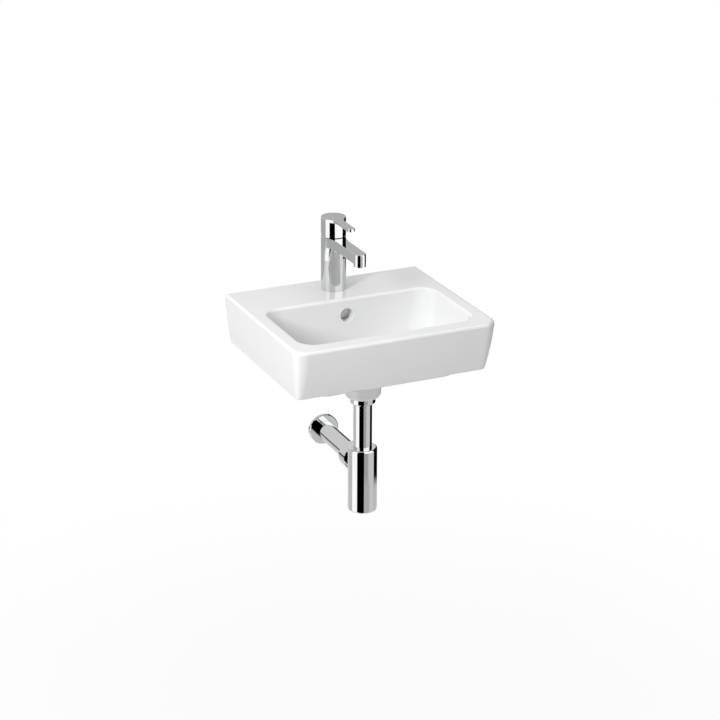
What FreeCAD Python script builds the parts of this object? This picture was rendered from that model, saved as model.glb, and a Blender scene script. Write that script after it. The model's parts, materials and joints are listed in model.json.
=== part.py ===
import FreeCAD
import Part
import Sketcher
import math
import os
import re

# Hand basin for wall mounting, with a single-lever tap, a push-open waste and a bottle trap.
# Millimetres, +Z up, +Y into the wall. The origin lies midway between the two wall holes, on the wall plane.
# Most bodies are drawn from their own reference point: the rim for basin and drain, the deck for the tap.

# Every size is written once here and read by name everywhere below.
SIZES = {
    # Ceramic. Depths are measured down from the rim and distances out from the wall.
    "rim_height": 45.0,
    "basin_width": 360.0,
    "basin_depth": 308.0,
    "apron_height": 88.5,
    "side_taper": 10.0,
    "front_taper": 22.5,
    "belly_share": 0.36,
    "belly_level": 46.0,
    "front_corner_top": 22.0,
    "front_corner_belly": 18.0,
    "front_corner_low": 9.0,
    "rear_corner": 3.0,
    "apron_wall": 13.0,
    "deck_thickness": 14.0,
    "hollow_corner_top": 12.0,
    "hollow_corner_low": 6.0,
    "side_rim": 26.0,
    "front_rim": 30.0,
    "deck_reach": 101.0,
    "bowl_depth": 94.0,
    "bowl_side_slope": 14.0,
    "bowl_front_slope": 16.0,
    "bowl_rear_slope": 5.0,
    "bowl_corner_top": 30.0,
    "bowl_corner_low": 42.0,
    "bowl_floor_round": 24.0,
    "bowl_wall": 10.0,
    "bowl_root": 4.0,
    "bowl_outer_round": 32.0,
    "bowl_edge_round": 5.0,
    "rim_round": 5.0,
    "foot_round": 2.5,
    "bolt_spacing": 200.0,
    "bolt_hole_radius": 6.0,
    "tap_hole_radius": 17.5,
    "overflow_radius": 11.3,
    "overflow_depth": 30.0,
    "overflow_round": 1.6,
    "duct_half_width": 18.0,
    "duct_reach": 78.0,
    "duct_top": 10.0,
    "duct_knee": 16.0,
    "duct_wall": 7.0,
    "duct_gap": 6.0,
    "duct_round": 4.0,
    "duct_lip": 3.0,
    "channel_top": 22.0,
    "channel_knee": 12.0,
    # Drain, on its own vertical axis.
    "drain_reach": 167.0,
    "neck_length": 59.0,
    "neck_top_radius": 33.0,
    "neck_low_radius": 30.3,
    "neck_round": 8.0,
    "drain_recess": 3.0,
    "recess_gap": 1.5,
    "drain_room": 24.0,
    "drain_gap": 1.0,
    "chamber_step": 4.8,
    "chamber_drop": 22.0,
    "chamber_height": 20.0,
    "seal_thickness": 1.4,
    "flange_radius": 32.0,
    "flange_thickness": 2.4,
    "flange_lip": 2.0,
    "tail_wall": 2.0,
    "tail_below": 9.0,
    "socket_length": 19.0,
    "nut_wall": 3.4,
    "window_half_width": 5.0,
    "window_margin": 3.0,
    "hub_radius": 7.0,
    "hub_drop": 10.0,
    "hub_height": 6.0,
    "spoke_half_width": 1.6,
    "lower_seal_thickness": 1.2,
    "back_nut_lip": 1.5,
    "back_nut_chamfer": 1.6,
    "plug_travel": 6.0,
    "plug_rest_gap": 0.1,
    "plug_radius": 31.0,
    "plug_rim": 2.6,
    "plug_dome": 6.0,
    "plug_shoulder": 24.0,
    "plug_seal_thickness": 2.5,
    "plug_seal_inner": 19.0,
    "plug_seal_outer": 25.0,
    "plug_stem_radius": 4.0,
    "stem_collar_radius": 6.2,
    "stem_collar_height": 4.0,
    "spring_radius": 5.6,
    "spring_wire": 0.55,
    "spring_turns": 4.0,
    # Trap tubes and bottle.
    "tube_radius": 16.0,
    "tube_wall": 1.2,
    "tube_show": 83.0,
    "inlet_seal_height": 1.6,
    "bottle_radius": 25.0,
    "bottle_wall": 2.5,
    "bottle_height": 115.5,
    "cap_height": 7.5,
    "dip_gap": 38.5,
    "bottle_round": 3.0,
    "cap_plate": 3.0,
    "cap_spigot_wall": 2.2,
    "cap_spigot_length": 6.5,
    "bottle_floor": 8.0,
    "cleanout_step": 4.5,
    "cleanout_rim": 3.0,
    "cleanout_flange": 2.4,
    "cleanout_seal_height": 1.1,
    "coin_slot_half": 10.0,
    "coin_slot_width": 3.0,
    "coin_slot_depth": 1.6,
    "outlet_drop": 32.0,
    "spigot_length": 18.0,
    "spigot_socket": 8.0,
    "outlet_nut_gap": 0.6,
    "outlet_nut_lip": 3.2,
    "outlet_nut_chamfer": 1.6,
    "outlet_seal_length": 2.6,
    "pipe_past_wall": 12.0,
    "pipe_end_gap": 0.6,
    "pipe_end_step": 0.4,
    "rosette_radius": 27.5,
    "rosette_height": 6.0,
    "rosette_chamfer": 1.2,
    # Tap, measured up from the deck on its own vertical axis.
    "tap_reach": 46.0,
    "tap_radius": 21.25,
    "tap_height": 95.0,
    "spout_thickness": 16.8,
    "spout_half_width": 10.5,
    "spout_tip_radius": 10.4,
    "spout_reach": 106.5,
    "spout_flare_start": 42.0,
    "spout_edge_round": 0.8,
    "cartridge_drop": 43.0,
    "gallery_drop": 29.0,
    "gallery_collar": 7.0,
    "gallery_radius": 16.5,
    "waterway_half_width": 4.0,
    "waterway_drop": 14.5,
    "waterway_size": 7.0,
    "waterway_start": 12.0,
    "waterway_rise": 4.2,
    "aerator_roof": 7.0,
    "inlet_offset": 7.5,
    "inlet_back": 3.0,
    "inlet_radius": 4.5,
    "inlet_length": 12.0,
    "passage_step": 0.4,
    "port_radius": 2.6,
    "port_length": 6.0,
    "stud_offset": 10.5,
    "stud_radius": 4.0,
    "stud_low": 60.0,
    "gasket_height": 1.2,
    "clamp_radius": 22.0,
    "clamp_slot_half": 14.6,
    "clamp_slot_start": 4.6,
    "clamp_gasket_height": 3.0,
    "clamp_plate_height": 2.6,
    "stud_nut_flat": 6.5,
    "stud_nut_height": 8.0,
    "cartridge_radius": 13.7,
    "cartridge_seal_height": 1.0,
    "cartridge_seal_inner": 11.0,
    "housing_plate": 3.5,
    "housing_lid": 4.0,
    "housing_wall": 1.9,
    "housing_mouth": 9.2,
    "housing_window": 12.0,
    "disc_gap": 0.3,
    "disc_height": 3.0,
    "disc_film": 0.05,
    "slider_radius": 6.8,
    "slider_height": 5.5,
    "slider_web": 0.8,
    "slider_gap": 0.4,
    "slider_socket": 3.4,
    "carrier_slot_half": 3.35,
    "carrier_slot_length": 7.6,
    "pivot_radius": 1.5,
    "pivot_rise": 23.0,
    "pivot_half_length": 9.0,
    "stem_radius": 3.0,
    "stem_neck": 2.0,
    "stem_knob": 2.9,
    "stem_gap": 0.5,
    "knob_chamfer": 1.2,
    "knob_height": 2.2,
    "knob_taper": 1.8,
    "stem_neck_length": 3.0,
    "stem_cover": 4.5,
    "ring_nut_radius": 15.5,
    "ring_nut_notch": 1.6,
    "nut_step": 1.0,
    "cover_mouth": 13.4,
    "cover_gap": 0.4,
    # Lever handle.
    "joint_gap": 1.0,
    "handle_height": 32.2,
    "handle_wall": 2.95,
    "handle_crown": 6.0,
    "handle_round": 0.6,
    "lever_half_width": 6.7,
    "lever_tip_radius": 6.6,
    "lever_reach": 71.0,
    "lever_flare_start": 34.0,
    "lever_thickness": 5.0,
    "relief_start": 8.0,
    "relief_rise": 10.0,
    "boss_radius": 6.0,
    "boss_gap": 7.0,
    "rib_half_width": 5.0,
    "grub_radius": 2.0,
    "grub_drop": 15.0,
    "grub_length": 9.0,
    "cover_radius": 3.0,
    "cover_length": 2.2,
    # Aerator in the spout tip.
    "aerator_drop": 5.0,
    "aerator_neck_length": 5.3,
    "aerator_gap": 1.5,
    "aerator_neck": 8.1,
    "aerator_inner": 6.6,
    "aerator_hole": 0.8,
    "aerator_hole_circle": 4.2,
    "aerator_seal_inner": 5.5,
    "aerator_seal_height": 1.4,
    # Fits.
    "thread_gap": 0.1,
    "slip_gap": 0.2,
    "run_gap": 0.06,
    "film": 0.1,
}

# Places and radii that follow from the sizes above.
LEVELS = {
    "neck_depth": "bowl_depth + neck_length",
    "neck_root": "bowl_depth + bowl_root",
    "drain_recess_radius": "flange_radius + recess_gap",
    "drain_bore": "tail_radius + drain_gap",
    "chamber_radius": "drain_bore + chamber_step",
    "chamber_top": "bowl_depth + chamber_drop",
    "chamber_low": "chamber_top + chamber_height",
    "duct_floor": "chamber_low + duct_wall",
    "duct_mouth": "drain_reach - chamber_radius + duct_lip",
    "tail_radius": "tube_radius + slip_gap + tail_wall",
    "tail_bore": "tube_radius - tube_wall + film",
    "tail_low": "neck_depth + tail_below",
    "socket_top": "tail_low - socket_length",
    "window_top": "chamber_top + window_margin",
    "window_low": "chamber_low - window_margin",
    "hub_top": "bowl_depth + hub_drop",
    "hub_low": "hub_top + hub_height",
    "back_nut_radius": "tail_radius + nut_wall",
    "back_nut_low": "tail_low + back_nut_lip",
    "bottle_top": "tail_low + tube_show",
    "bottle_seam": "bottle_top + cap_height",
    "bottle_low": "bottle_top + bottle_height",
    "cap_spigot_low": "bottle_seam + cap_spigot_length",
    "dip_depth": "bottle_low - dip_gap",
    "cleanout_radius": "bottle_radius - bottle_wall - cleanout_step",
    "cleanout_flange_radius": "cleanout_radius + cleanout_rim",
    "outlet_depth": "bottle_top + outlet_drop",
    "spigot_radius": "tube_radius + slip_gap + nut_wall",
    "spigot_bore": "tube_radius - tube_wall - slip_gap",
    "spigot_reach": "bottle_radius + spigot_length",
    "outlet_nut_radius": "spigot_radius + nut_wall + slip_gap",
    "outlet_nut_start": "bottle_radius + outlet_nut_gap",
    "outlet_nut_end": "spigot_reach + outlet_seal_length + film + outlet_nut_lip",
    "spout_low": "tap_height - spout_thickness",
    "cartridge_bore": "cartridge_radius + slip_gap",
    "cartridge_seat": "tap_height - cartridge_drop",
    "gallery_low": "tap_height - gallery_drop",
    "gallery_top": "tap_height - gallery_collar",
    "nut_bore": "ring_nut_radius + slip_gap",
    "waterway_low": "tap_height - waterway_drop",
    "waterway_high": "waterway_low + waterway_size",
    "waterway_end": "spout_reach - joint_gap",
    "aerator_bore": "aerator_neck + slip_gap",
    "aerator_bore_top": "tap_height - aerator_roof",
    "gasket_inner": "tap_hole_radius + slip_gap + film",
    "gasket_outer": "tap_radius - joint_gap",
    "housing_floor": "cartridge_seat + cartridge_seal_height + housing_plate",
    "housing_top": "gallery_top",
    "housing_roof": "housing_top - housing_lid",
    "housing_bore": "cartridge_radius - housing_wall",
    "housing_window_low": "slider_top + 2 * joint_gap",
    "housing_window_top": "housing_window_low + housing_window",
    "disc_radius": "housing_bore - disc_gap",
    "disc_top": "housing_floor + disc_height",
    "slider_top": "disc_top + slider_height",
    "slider_floor": "disc_top + slider_web",
    "carrier_radius": "disc_radius - film",
    "carrier_low": "slider_top + slider_gap",
    "carrier_top": "housing_roof - slider_gap",
    "pivot_height": "cartridge_seat + pivot_rise",
    "stem_low": "slider_floor + stem_gap",
    "stem_knob_low": "stem_low + knob_chamfer",
    "stem_knob_top": "stem_knob_low + knob_height",
    "stem_neck_low": "stem_knob_top + knob_taper",
    "stem_neck_top": "stem_neck_low + stem_neck_length",
    "stem_top": "handle_roof - stem_cover",
    "ring_nut_inner": "housing_bore + nut_step",
    "ring_nut_top": "tap_height + 2 * joint_gap",
    "cover_ball": "sqrt(handle_inner ^ 2 + (handle_low - pivot_height) ^ 2) - cover_gap",
    "handle_low": "tap_height + joint_gap",
    "handle_top": "handle_low + handle_height",
    "handle_inner": "tap_radius - handle_wall",
    "handle_roof": "handle_top - handle_crown",
    "boss_low": "ring_nut_top + boss_gap",
    "grub_height": "handle_top - grub_drop",
    "aerator_ring_radius": "spout_tip_radius - slip_gap",
    "aerator_neck_top": "spout_low + aerator_neck_length",
    "aerator_insert_low": "spout_low - aerator_drop + joint_gap",
    "aerator_insert_top": "aerator_neck_top - aerator_gap",
}

document = FreeCAD.newDocument("hand_basin")
sheet = document.addObject("Spreadsheet::Sheet", "sizes")
for row, (name, value) in enumerate(SIZES.items(), start=1):
    sheet.set("A%d" % row, name)
    sheet.set("B%d" % row, str(value))
    sheet.setAlias("B%d" % row, name)
document.recompute()
sums = document.addObject("Spreadsheet::Sheet", "sums")
bodies = []


def link(text):
    """Turn plain size names into references to the sheet, and places into the sizes they follow from."""
    def expand(found):
        name = found.group(0)
        if name in LEVELS:
            return "(" + link(LEVELS[name]) + ")"
        return "sizes." + name
    return re.sub(r"\b[a-z]+(_[a-z]+)*\b(?!\()", expand, text)


def number(text):
    """Read the present value of an expression of the named sizes."""
    sums.set("A1", "=" + link(text))
    sums.recompute()
    return float(sums.get("A1"))


def bind(target, path, text):
    target.setExpression(path, link(text))


def new_body(label, x="0", y="0", z="0", along_wall_axis=False):
    """Start a body at its own reference point. With along_wall_axis its local Z runs towards the wall."""
    body = document.addObject("PartDesign::Body", label)
    body.Label = label
    turn = FreeCAD.Rotation(FreeCAD.Vector(1, 0, 0), -90 if along_wall_axis else 0)
    body.Placement = FreeCAD.Placement(FreeCAD.Vector(number(x), number(y), number(z)), turn)
    for axis, text in (("x", x), ("y", y), ("z", z)):
        if text != "0":
            bind(body, "Placement.Base." + axis, text)
    bodies.append(body)
    return body


def drain_body(label):
    return new_body(label, y="-drain_reach", z="rim_height")


def tap_piece(label):
    return new_body(label, y="-tap_reach", z="rim_height")


def outlet_body(label):
    return new_body(label, y="-drain_reach", z="rim_height - outlet_depth", along_wall_axis=True)


def new_sketch(body, role, offset="0"):
    """Attach a sketch to one of the body's own origin planes, shifted along that plane's normal."""
    sketch = body.newObject("Sketcher::SketchObject", "profile")
    plane = [item for item in body.Origin.OriginFeatures if item.Role == role][0]
    sketch.AttachmentSupport = [(plane, "")]
    sketch.MapMode = "FlatFace"
    sketch.AttachmentOffset = FreeCAD.Placement(FreeCAD.Vector(0, 0, number(offset)), FreeCAD.Rotation())
    if offset != "0":
        bind(sketch, "AttachmentOffset.Base.z", offset)
    return sketch


def pin_point(sketch, geometry, end, x, y):
    """Hold one point of a sketch at expressions of the named sizes."""
    for kind, text in (("DistanceX", x), ("DistanceY", y)):
        index = sketch.addConstraint(Sketcher.Constraint(kind, -1, 1, geometry, end, number(text)))
        if re.search("[a-z]", text):
            bind(sketch, "Constraints[%d]" % index, text)


def polygon(sketch, points):
    """Draw a closed outline of straight edges through named points."""
    places = [FreeCAD.Vector(number(x), number(y), 0) for x, y in points]
    count = len(places)
    for index in range(count):
        sketch.addGeometry(Part.LineSegment(places[index], places[(index + 1) % count]), False)
    for index in range(count):
        sketch.addConstraint(Sketcher.Constraint("Coincident", index, 2, (index + 1) % count, 1))
    for index, (x, y) in enumerate(points):
        pin_point(sketch, index, 1, x, y)


def circle(sketch, x, y, radius):
    centre = FreeCAD.Vector(number(x), number(y), 0)
    index = sketch.addGeometry(Part.Circle(centre, FreeCAD.Vector(0, 0, 1), number(radius)), False)
    pin_point(sketch, index, 3, x, y)
    size = sketch.addConstraint(Sketcher.Constraint("Radius", index, number(radius)))
    bind(sketch, "Constraints[%d]" % size, radius)


def rounded_outline(sketch, left, right, front, rear, front_radius, rear_radius):
    """Draw a rectangle with tangent corner arcs, front and rear corners each with their own radius."""
    corners = (
        (left, front, "+", "+", front_radius, 180),
        (right, front, "-", "+", front_radius, 270),
        (right, rear, "-", "-", rear_radius, 0),
        (left, rear, "+", "-", rear_radius, 90),
    )
    arcs = []
    for x, y, sign_x, sign_y, radius, start in corners:
        centre_x = "(%s) %s (%s)" % (x, sign_x, radius)
        centre_y = "(%s) %s (%s)" % (y, sign_y, radius)
        centre = FreeCAD.Vector(number(centre_x), number(centre_y), 0)
        round_shape = Part.Circle(centre, FreeCAD.Vector(0, 0, 1), number(radius))
        arc_shape = Part.ArcOfCircle(round_shape, math.radians(start), math.radians(start + 90))
        arc = sketch.addGeometry(arc_shape, False)
        arcs.append((arc, arc_shape, centre_x, centre_y, radius))
    for index in range(4):
        arc, arc_shape = arcs[index][:2]
        next_arc, next_shape = arcs[(index + 1) % 4][:2]
        side = sketch.addGeometry(Part.LineSegment(arc_shape.EndPoint, next_shape.StartPoint), False)
        sketch.addConstraint(Sketcher.Constraint("Tangent", arc, 2, side, 1))
        sketch.addConstraint(Sketcher.Constraint("Tangent", side, 2, next_arc, 1))
    for arc, arc_shape, centre_x, centre_y, radius in arcs:
        pin_point(sketch, arc, 3, centre_x, centre_y)
        size = sketch.addConstraint(Sketcher.Constraint("Radius", arc, number(radius)))
        bind(sketch, "Constraints[%d]" % size, radius)


def feature(body, kind, profile):
    made = body.newObject("PartDesign::" + kind, kind.lower())
    made.Profile = profile
    return made


def turn(body, points, cut=False, role="XZ_Plane", offset="0"):
    """Turn a profile of (radius, height) points about the body's vertical axis."""
    sketch = new_sketch(body, role, offset)
    polygon(sketch, points)
    made = feature(body, "Groove" if cut else "Revolution", sketch)
    made.ReferenceAxis = (sketch, ["V_Axis"])
    made.Angle = 360
    return made


def raise_outline(body, sketch, length, both_sides=False, cut=False, backwards=False):
    """Pad or pocket an outline by a named length."""
    made = feature(body, "Pocket" if cut else "Pad", sketch)
    made.SideType = "Symmetric" if both_sides else "One side"
    made.Reversed = backwards
    made.Length = number(length)
    bind(made, "Length", length)
    return made


def side_profile(body, points, half_width, cut=False):
    """Raise an outline drawn in the side view to equal widths left and right."""
    sketch = new_sketch(body, "YZ_Plane")
    polygon(sketch, points)
    return raise_outline(body, sketch, "2 * (%s)" % half_width, both_sides=True, cut=cut)


def drill(body, x, y, radius, start, length, upwards=False):
    """Bore a round hole along the body's vertical axis, down from start or up from it."""
    sketch = new_sketch(body, "XY_Plane", start)
    circle(sketch, x, y, radius)
    return raise_outline(body, sketch, length, cut=True, backwards=upwards)


def loft(body, sections, cut=False, ruled=True):
    made = feature(body, "SubtractiveLoft" if cut else "AdditiveLoft", sections[0])
    made.Sections = sections[1:]
    made.Ruled = ruled
    return made


def soften(body, radius, chosen, chamfer=False):
    """Round or chamfer every edge of the present solid that the test picks."""
    document.recompute()
    base = body.Tip
    names = ["Edge%d" % (index + 1) for index, edge in enumerate(base.Shape.Edges) if chosen(edge)]
    if not names:
        raise RuntimeError("no edge to soften on " + body.Label)
    made = body.newObject("PartDesign::Chamfer" if chamfer else "PartDesign::Fillet", "soften")
    made.Base = (base, names)
    path = "Size" if chamfer else "Radius"
    setattr(made, path, number(radius))
    bind(made, path, radius)
    document.recompute()
    return made


def flat_at(edge, level, reach=0.02):
    """Tell whether an edge of the solid lies level at this height."""
    box = edge.BoundBox
    return abs(box.ZMin - level) < reach and abs(box.ZMax - level) < reach


def ring(label, place, inner, outer, low, high):
    """Make a plain ring, such as a seal or washer."""
    body = place(label)
    turn(body, [(inner, low), (outer, low), (outer, high), (inner, high)])
    return body


def make_basin():
    """Ceramic: lofted apron, hollow underside, lofted bowl, drain neck and overflow duct."""
    body = new_body("basin", z="rim_height")
    belly = ("side_taper * belly_share", "front_taper * belly_share")

    def apron_section(level, side_loss, front_loss, corner):
        sketch = new_sketch(body, "XY_Plane", level)
        half = "(basin_width / 2 - (%s))" % side_loss
        front = "-(basin_depth - (%s))" % front_loss
        rounded_outline(sketch, "-" + half, half, front, "apron_wall", corner, "rear_corner")
        return sketch

    loft(body, [
        apron_section("0", "0", "0", "front_corner_top"),
        apron_section("-belly_level", *belly, "front_corner_belly"),
        apron_section("-apron_height", "side_taper", "front_taper", "front_corner_low"),
    ], ruled=False)
    behind_wall = new_sketch(body, "XZ_Plane")
    polygon(behind_wall, [
        ("-basin_width", "-basin_depth"),
        ("basin_width", "-basin_depth"),
        ("basin_width", "basin_depth"),
        ("-basin_width", "basin_depth"),
    ])
    raise_outline(body, behind_wall, "2 * apron_wall", cut=True)

    def hollow_section(level, side_loss, front_loss, corner):
        sketch = new_sketch(body, "XY_Plane", level)
        half = "(basin_width / 2 - apron_wall - (%s))" % side_loss
        front = "-(basin_depth - apron_wall - (%s))" % front_loss
        rounded_outline(sketch, "-" + half, half, front, "-apron_wall", corner, corner)
        return sketch

    loft(body, [
        hollow_section("-deck_thickness", *belly, "hollow_corner_top"),
        hollow_section("-apron_height", "side_taper", "front_taper", "hollow_corner_low"),
    ], cut=True)

    def bowl_section(level, grow, side_slope, front_slope, rear_slope, corner):
        sketch = new_sketch(body, "XY_Plane", level)
        half = "(basin_width / 2 - side_rim + (%s) - (%s))" % (grow, side_slope)
        front = "-(basin_depth - front_rim + (%s) - (%s))" % (grow, front_slope)
        rear = "-(deck_reach - (%s) + (%s))" % (grow, rear_slope)
        rounded_outline(sketch, "-" + half, half, front, rear, corner, corner)
        return sketch

    slopes = ("bowl_side_slope", "bowl_front_slope", "bowl_rear_slope")
    level = ("0", "0", "0")
    loft(body, [
        bowl_section("-bowl_root", "bowl_wall", *level, "bowl_corner_top + bowl_wall"),
        bowl_section("-(bowl_depth + bowl_wall)", "bowl_wall", *slopes, "bowl_corner_low + bowl_wall"),
    ])
    soften(body, "bowl_outer_round", lambda edge: flat_at(edge, number("-bowl_depth - bowl_wall")))

    turn(body, [
        ("0", "-neck_root"),
        ("neck_top_radius", "-neck_root"),
        ("neck_low_radius", "-neck_depth"),
        ("0", "-neck_depth"),
    ], offset="drain_reach")
    soften(body, "neck_round", lambda edge: flat_at(edge, number("-neck_depth")))

    side_profile(body, [
        ("-(deck_reach - bowl_wall / 2)", "-duct_top"),
        ("-duct_reach", "-duct_top"),
        ("-duct_reach", "-(duct_floor - duct_knee)"),
        ("-(duct_reach + duct_knee)", "-duct_floor"),
        ("-duct_mouth", "-duct_floor"),
        ("-duct_mouth", "-(bowl_depth + bowl_wall / 2)"),
        ("-(deck_reach + duct_wall)", "-(bowl_depth - bowl_wall)"),
    ], "duct_half_width")

    def duct_edge(edge):
        box = edge.BoundBox
        upright = box.XLength < 0.02 and box.YLength < 0.02
        return upright and abs(box.YMin + number("duct_reach")) < 0.02

    soften(body, "duct_round", duct_edge)

    loft(body, [
        bowl_section("0", "0", *level, "bowl_corner_top"),
        bowl_section("-bowl_depth", "0", *slopes, "bowl_corner_low"),
    ], cut=True)
    soften(body, "bowl_floor_round", lambda edge: flat_at(edge, number("-bowl_depth")))

    turn(body, [
        ("0", "-(bowl_depth - drain_room)"),
        ("drain_recess_radius", "-(bowl_depth - drain_room)"),
        ("drain_recess_radius", "-(bowl_depth + drain_recess)"),
        ("drain_bore", "-(bowl_depth + drain_recess)"),
        ("drain_bore", "-chamber_top"),
        ("chamber_radius", "-chamber_top"),
        ("chamber_radius", "-chamber_low"),
        ("drain_bore", "-chamber_low"),
        ("drain_bore", "-neck_depth"),
        ("0", "-neck_depth"),
    ], cut=True, offset="drain_reach")

    side_profile(body, [
        ("-(duct_reach + duct_wall + duct_gap)", "-channel_top"),
        ("-(duct_reach + duct_wall)", "-channel_top"),
        ("-(duct_reach + duct_wall)", "-(duct_floor - duct_wall - channel_knee)"),
        ("-(duct_reach + duct_wall + channel_knee)", "-(duct_floor - duct_wall)"),
        ("-duct_mouth", "-(duct_floor - duct_wall)"),
        ("-duct_mouth", "-chamber_top"),
        ("-(duct_reach + duct_wall + duct_gap)", "-chamber_top"),
    ], "duct_half_width - duct_wall", cut=True)

    overflow = new_sketch(body, "XZ_Plane", "deck_reach + duct_wall")
    circle(overflow, "0", "-overflow_depth", "overflow_radius")
    raise_outline(body, overflow, "deck_reach - duct_reach - duct_wall / 2", cut=True)

    hole_low = -number("overflow_depth + overflow_radius") - 1
    hole_high = -number("overflow_depth - overflow_radius") + 1
    rear_wall = -number("deck_reach + bowl_rear_slope")

    def overflow_mouth(edge):
        box = edge.BoundBox
        upright = box.ZMin > hole_low and box.ZMax < hole_high and box.ZLength > number("overflow_radius")
        return upright and box.YMin > rear_wall and box.YMax < -number("deck_reach")

    soften(body, "overflow_round", overflow_mouth)
    drill(body, "0", "-tap_reach", "tap_hole_radius", "0", "2 * deck_thickness")
    wall_holes = new_sketch(body, "XZ_Plane")
    circle(wall_holes, "-bolt_spacing / 2", "-rim_height", "bolt_hole_radius")
    circle(wall_holes, "bolt_spacing / 2", "-rim_height", "bolt_hole_radius")
    raise_outline(body, wall_holes, "2 * apron_wall", cut=True, backwards=True)

    rim_level = 0

    def bowl_edge(edge):
        box = edge.BoundBox
        inside = box.YMax < -number("deck_reach") + 1 and box.YMin > -number("basin_depth - front_rim") - 1
        return flat_at(edge, rim_level) and inside

    def outer_edge(level):
        def test(edge):
            box = edge.BoundBox
            wide = max(abs(box.XMin), abs(box.XMax)) > number("basin_width / 2 - side_taper") - 1
            return flat_at(edge, level) and wide and box.YMin < -1
        return test

    soften(body, "bowl_edge_round", bowl_edge)
    soften(body, "rim_round", outer_edge(rim_level))
    soften(body, "foot_round", outer_edge(-number("apron_height")))


def make_waste():
    """Waste with flange, tail, guide hub on spokes and overflow windows, and the parts that clamp it."""
    flange_low = "-(bowl_depth + drain_recess - seal_thickness)"
    flange_high = "-(bowl_depth + drain_recess - seal_thickness - flange_thickness)"
    body = drain_body("waste_body")
    turn(body, [
        ("tail_bore + flange_lip", flange_high),
        ("flange_radius", flange_high),
        ("flange_radius", flange_low),
        ("tail_radius", flange_low),
        ("tail_radius", "-tail_low"),
        ("tube_radius + slip_gap", "-tail_low"),
        ("tube_radius + slip_gap", "-socket_top"),
        ("tail_bore", "-socket_top"),
        ("tail_bore", flange_low),
    ])
    windows = new_sketch(body, "XZ_Plane")
    polygon(windows, [
        ("-window_half_width", "-window_top"),
        ("window_half_width", "-window_top"),
        ("window_half_width", "-window_low"),
        ("-window_half_width", "-window_low"),
    ])
    raise_outline(body, windows, "3 * tail_radius", both_sides=True, cut=True)
    hub = new_sketch(body, "XY_Plane", "-hub_low")
    circle(hub, "0", "0", "hub_radius")
    raise_outline(body, hub, "hub_low - hub_top")
    spoke = new_sketch(body, "XY_Plane", "-hub_low")
    polygon(spoke, [
        ("0", "-spoke_half_width"),
        ("(tail_bore + tail_radius) / 2", "-spoke_half_width"),
        ("(tail_bore + tail_radius) / 2", "spoke_half_width"),
        ("0", "spoke_half_width"),
    ])
    arm = raise_outline(body, spoke, "hub_low - hub_top")
    document.recompute()
    spokes = body.newObject("PartDesign::PolarPattern", "spokes")
    spokes.Originals = [arm]
    spokes.Axis = (spoke, ["N_Axis"])
    spokes.Angle = 360
    spokes.Occurrences = 3
    body.Tip = spokes
    drill(body, "0", "0", "plug_stem_radius + run_gap", "-hub_top", "2 * (hub_low - hub_top)")

    ring("waste_top_seal", drain_body, "drain_bore", "flange_radius - seal_thickness",
         "-(bowl_depth + drain_recess)", flange_low)
    ring("waste_lower_seal", drain_body, "tail_radius + slip_gap", "back_nut_radius",
         "-(neck_depth + lower_seal_thickness)", "-neck_depth")

    nut = drain_body("waste_back_nut")
    turn(nut, [
        ("tail_radius + thread_gap", "-(neck_depth + lower_seal_thickness)"),
        ("back_nut_radius", "-(neck_depth + lower_seal_thickness)"),
        ("back_nut_radius", "-(back_nut_low - back_nut_chamfer)"),
        ("back_nut_radius - back_nut_chamfer", "-back_nut_low"),
        ("tube_radius + slip_gap", "-back_nut_low"),
        ("tube_radius + slip_gap", "-(tail_low + film)"),
        ("tail_radius + thread_gap", "-(tail_low + film)"),
    ])
    return flange_high


def make_plug(flange_high):
    """Push-open plug that stands above the flange at rest and drops onto it by its travel."""
    seal_low = flange_high + " + plug_travel + plug_rest_gap"
    cap_low = seal_low + " + plug_seal_thickness"
    cap = drain_body("plug_cap")
    turn(cap, [
        ("0", cap_low),
        ("plug_radius - plug_rim", cap_low),
        ("plug_radius", cap_low + " + plug_rim / 2"),
        ("plug_radius", cap_low + " + plug_rim"),
        ("plug_shoulder", cap_low + " + plug_dome - plug_rim / 2"),
        ("plug_shoulder / 2", cap_low + " + plug_dome"),
        ("0", cap_low + " + plug_dome + plug_rest_gap"),
    ])
    ring("plug_seal", drain_body, "plug_seal_inner", "plug_seal_outer", seal_low, cap_low)
    stem = drain_body("plug_stem")
    turn(stem, [
        ("0", cap_low),
        ("plug_stem_radius", cap_low),
        ("plug_stem_radius", "-(hub_low + film)"),
        ("stem_collar_radius", "-(hub_low + film)"),
        ("stem_collar_radius", "-(hub_low + film + stem_collar_height)"),
        ("0", "-(hub_low + film + stem_collar_height)"),
    ])
    spring = drain_body("plug_spring")
    coil = new_sketch(spring, "XZ_Plane")
    middle = "-hub_top + spring_wire + film"
    polygon(coil, [
        ("spring_radius + spring_wire", middle),
        ("spring_radius + spring_wire / 2", middle + " + spring_wire"),
        ("spring_radius - spring_wire / 2", middle + " + spring_wire"),
        ("spring_radius - spring_wire", middle),
        ("spring_radius - spring_wire / 2", middle + " - spring_wire"),
        ("spring_radius + spring_wire / 2", middle + " - spring_wire"),
    ])
    helix = feature(spring, "AdditiveHelix", coil)
    helix.ReferenceAxis = (coil, ["V_Axis"])
    helix.Mode = "height-turns-angle"
    bind(helix, "Height", cap_low + " + hub_top - 2 * (spring_wire + film)")
    bind(helix, "Turns", "spring_turns")


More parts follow.
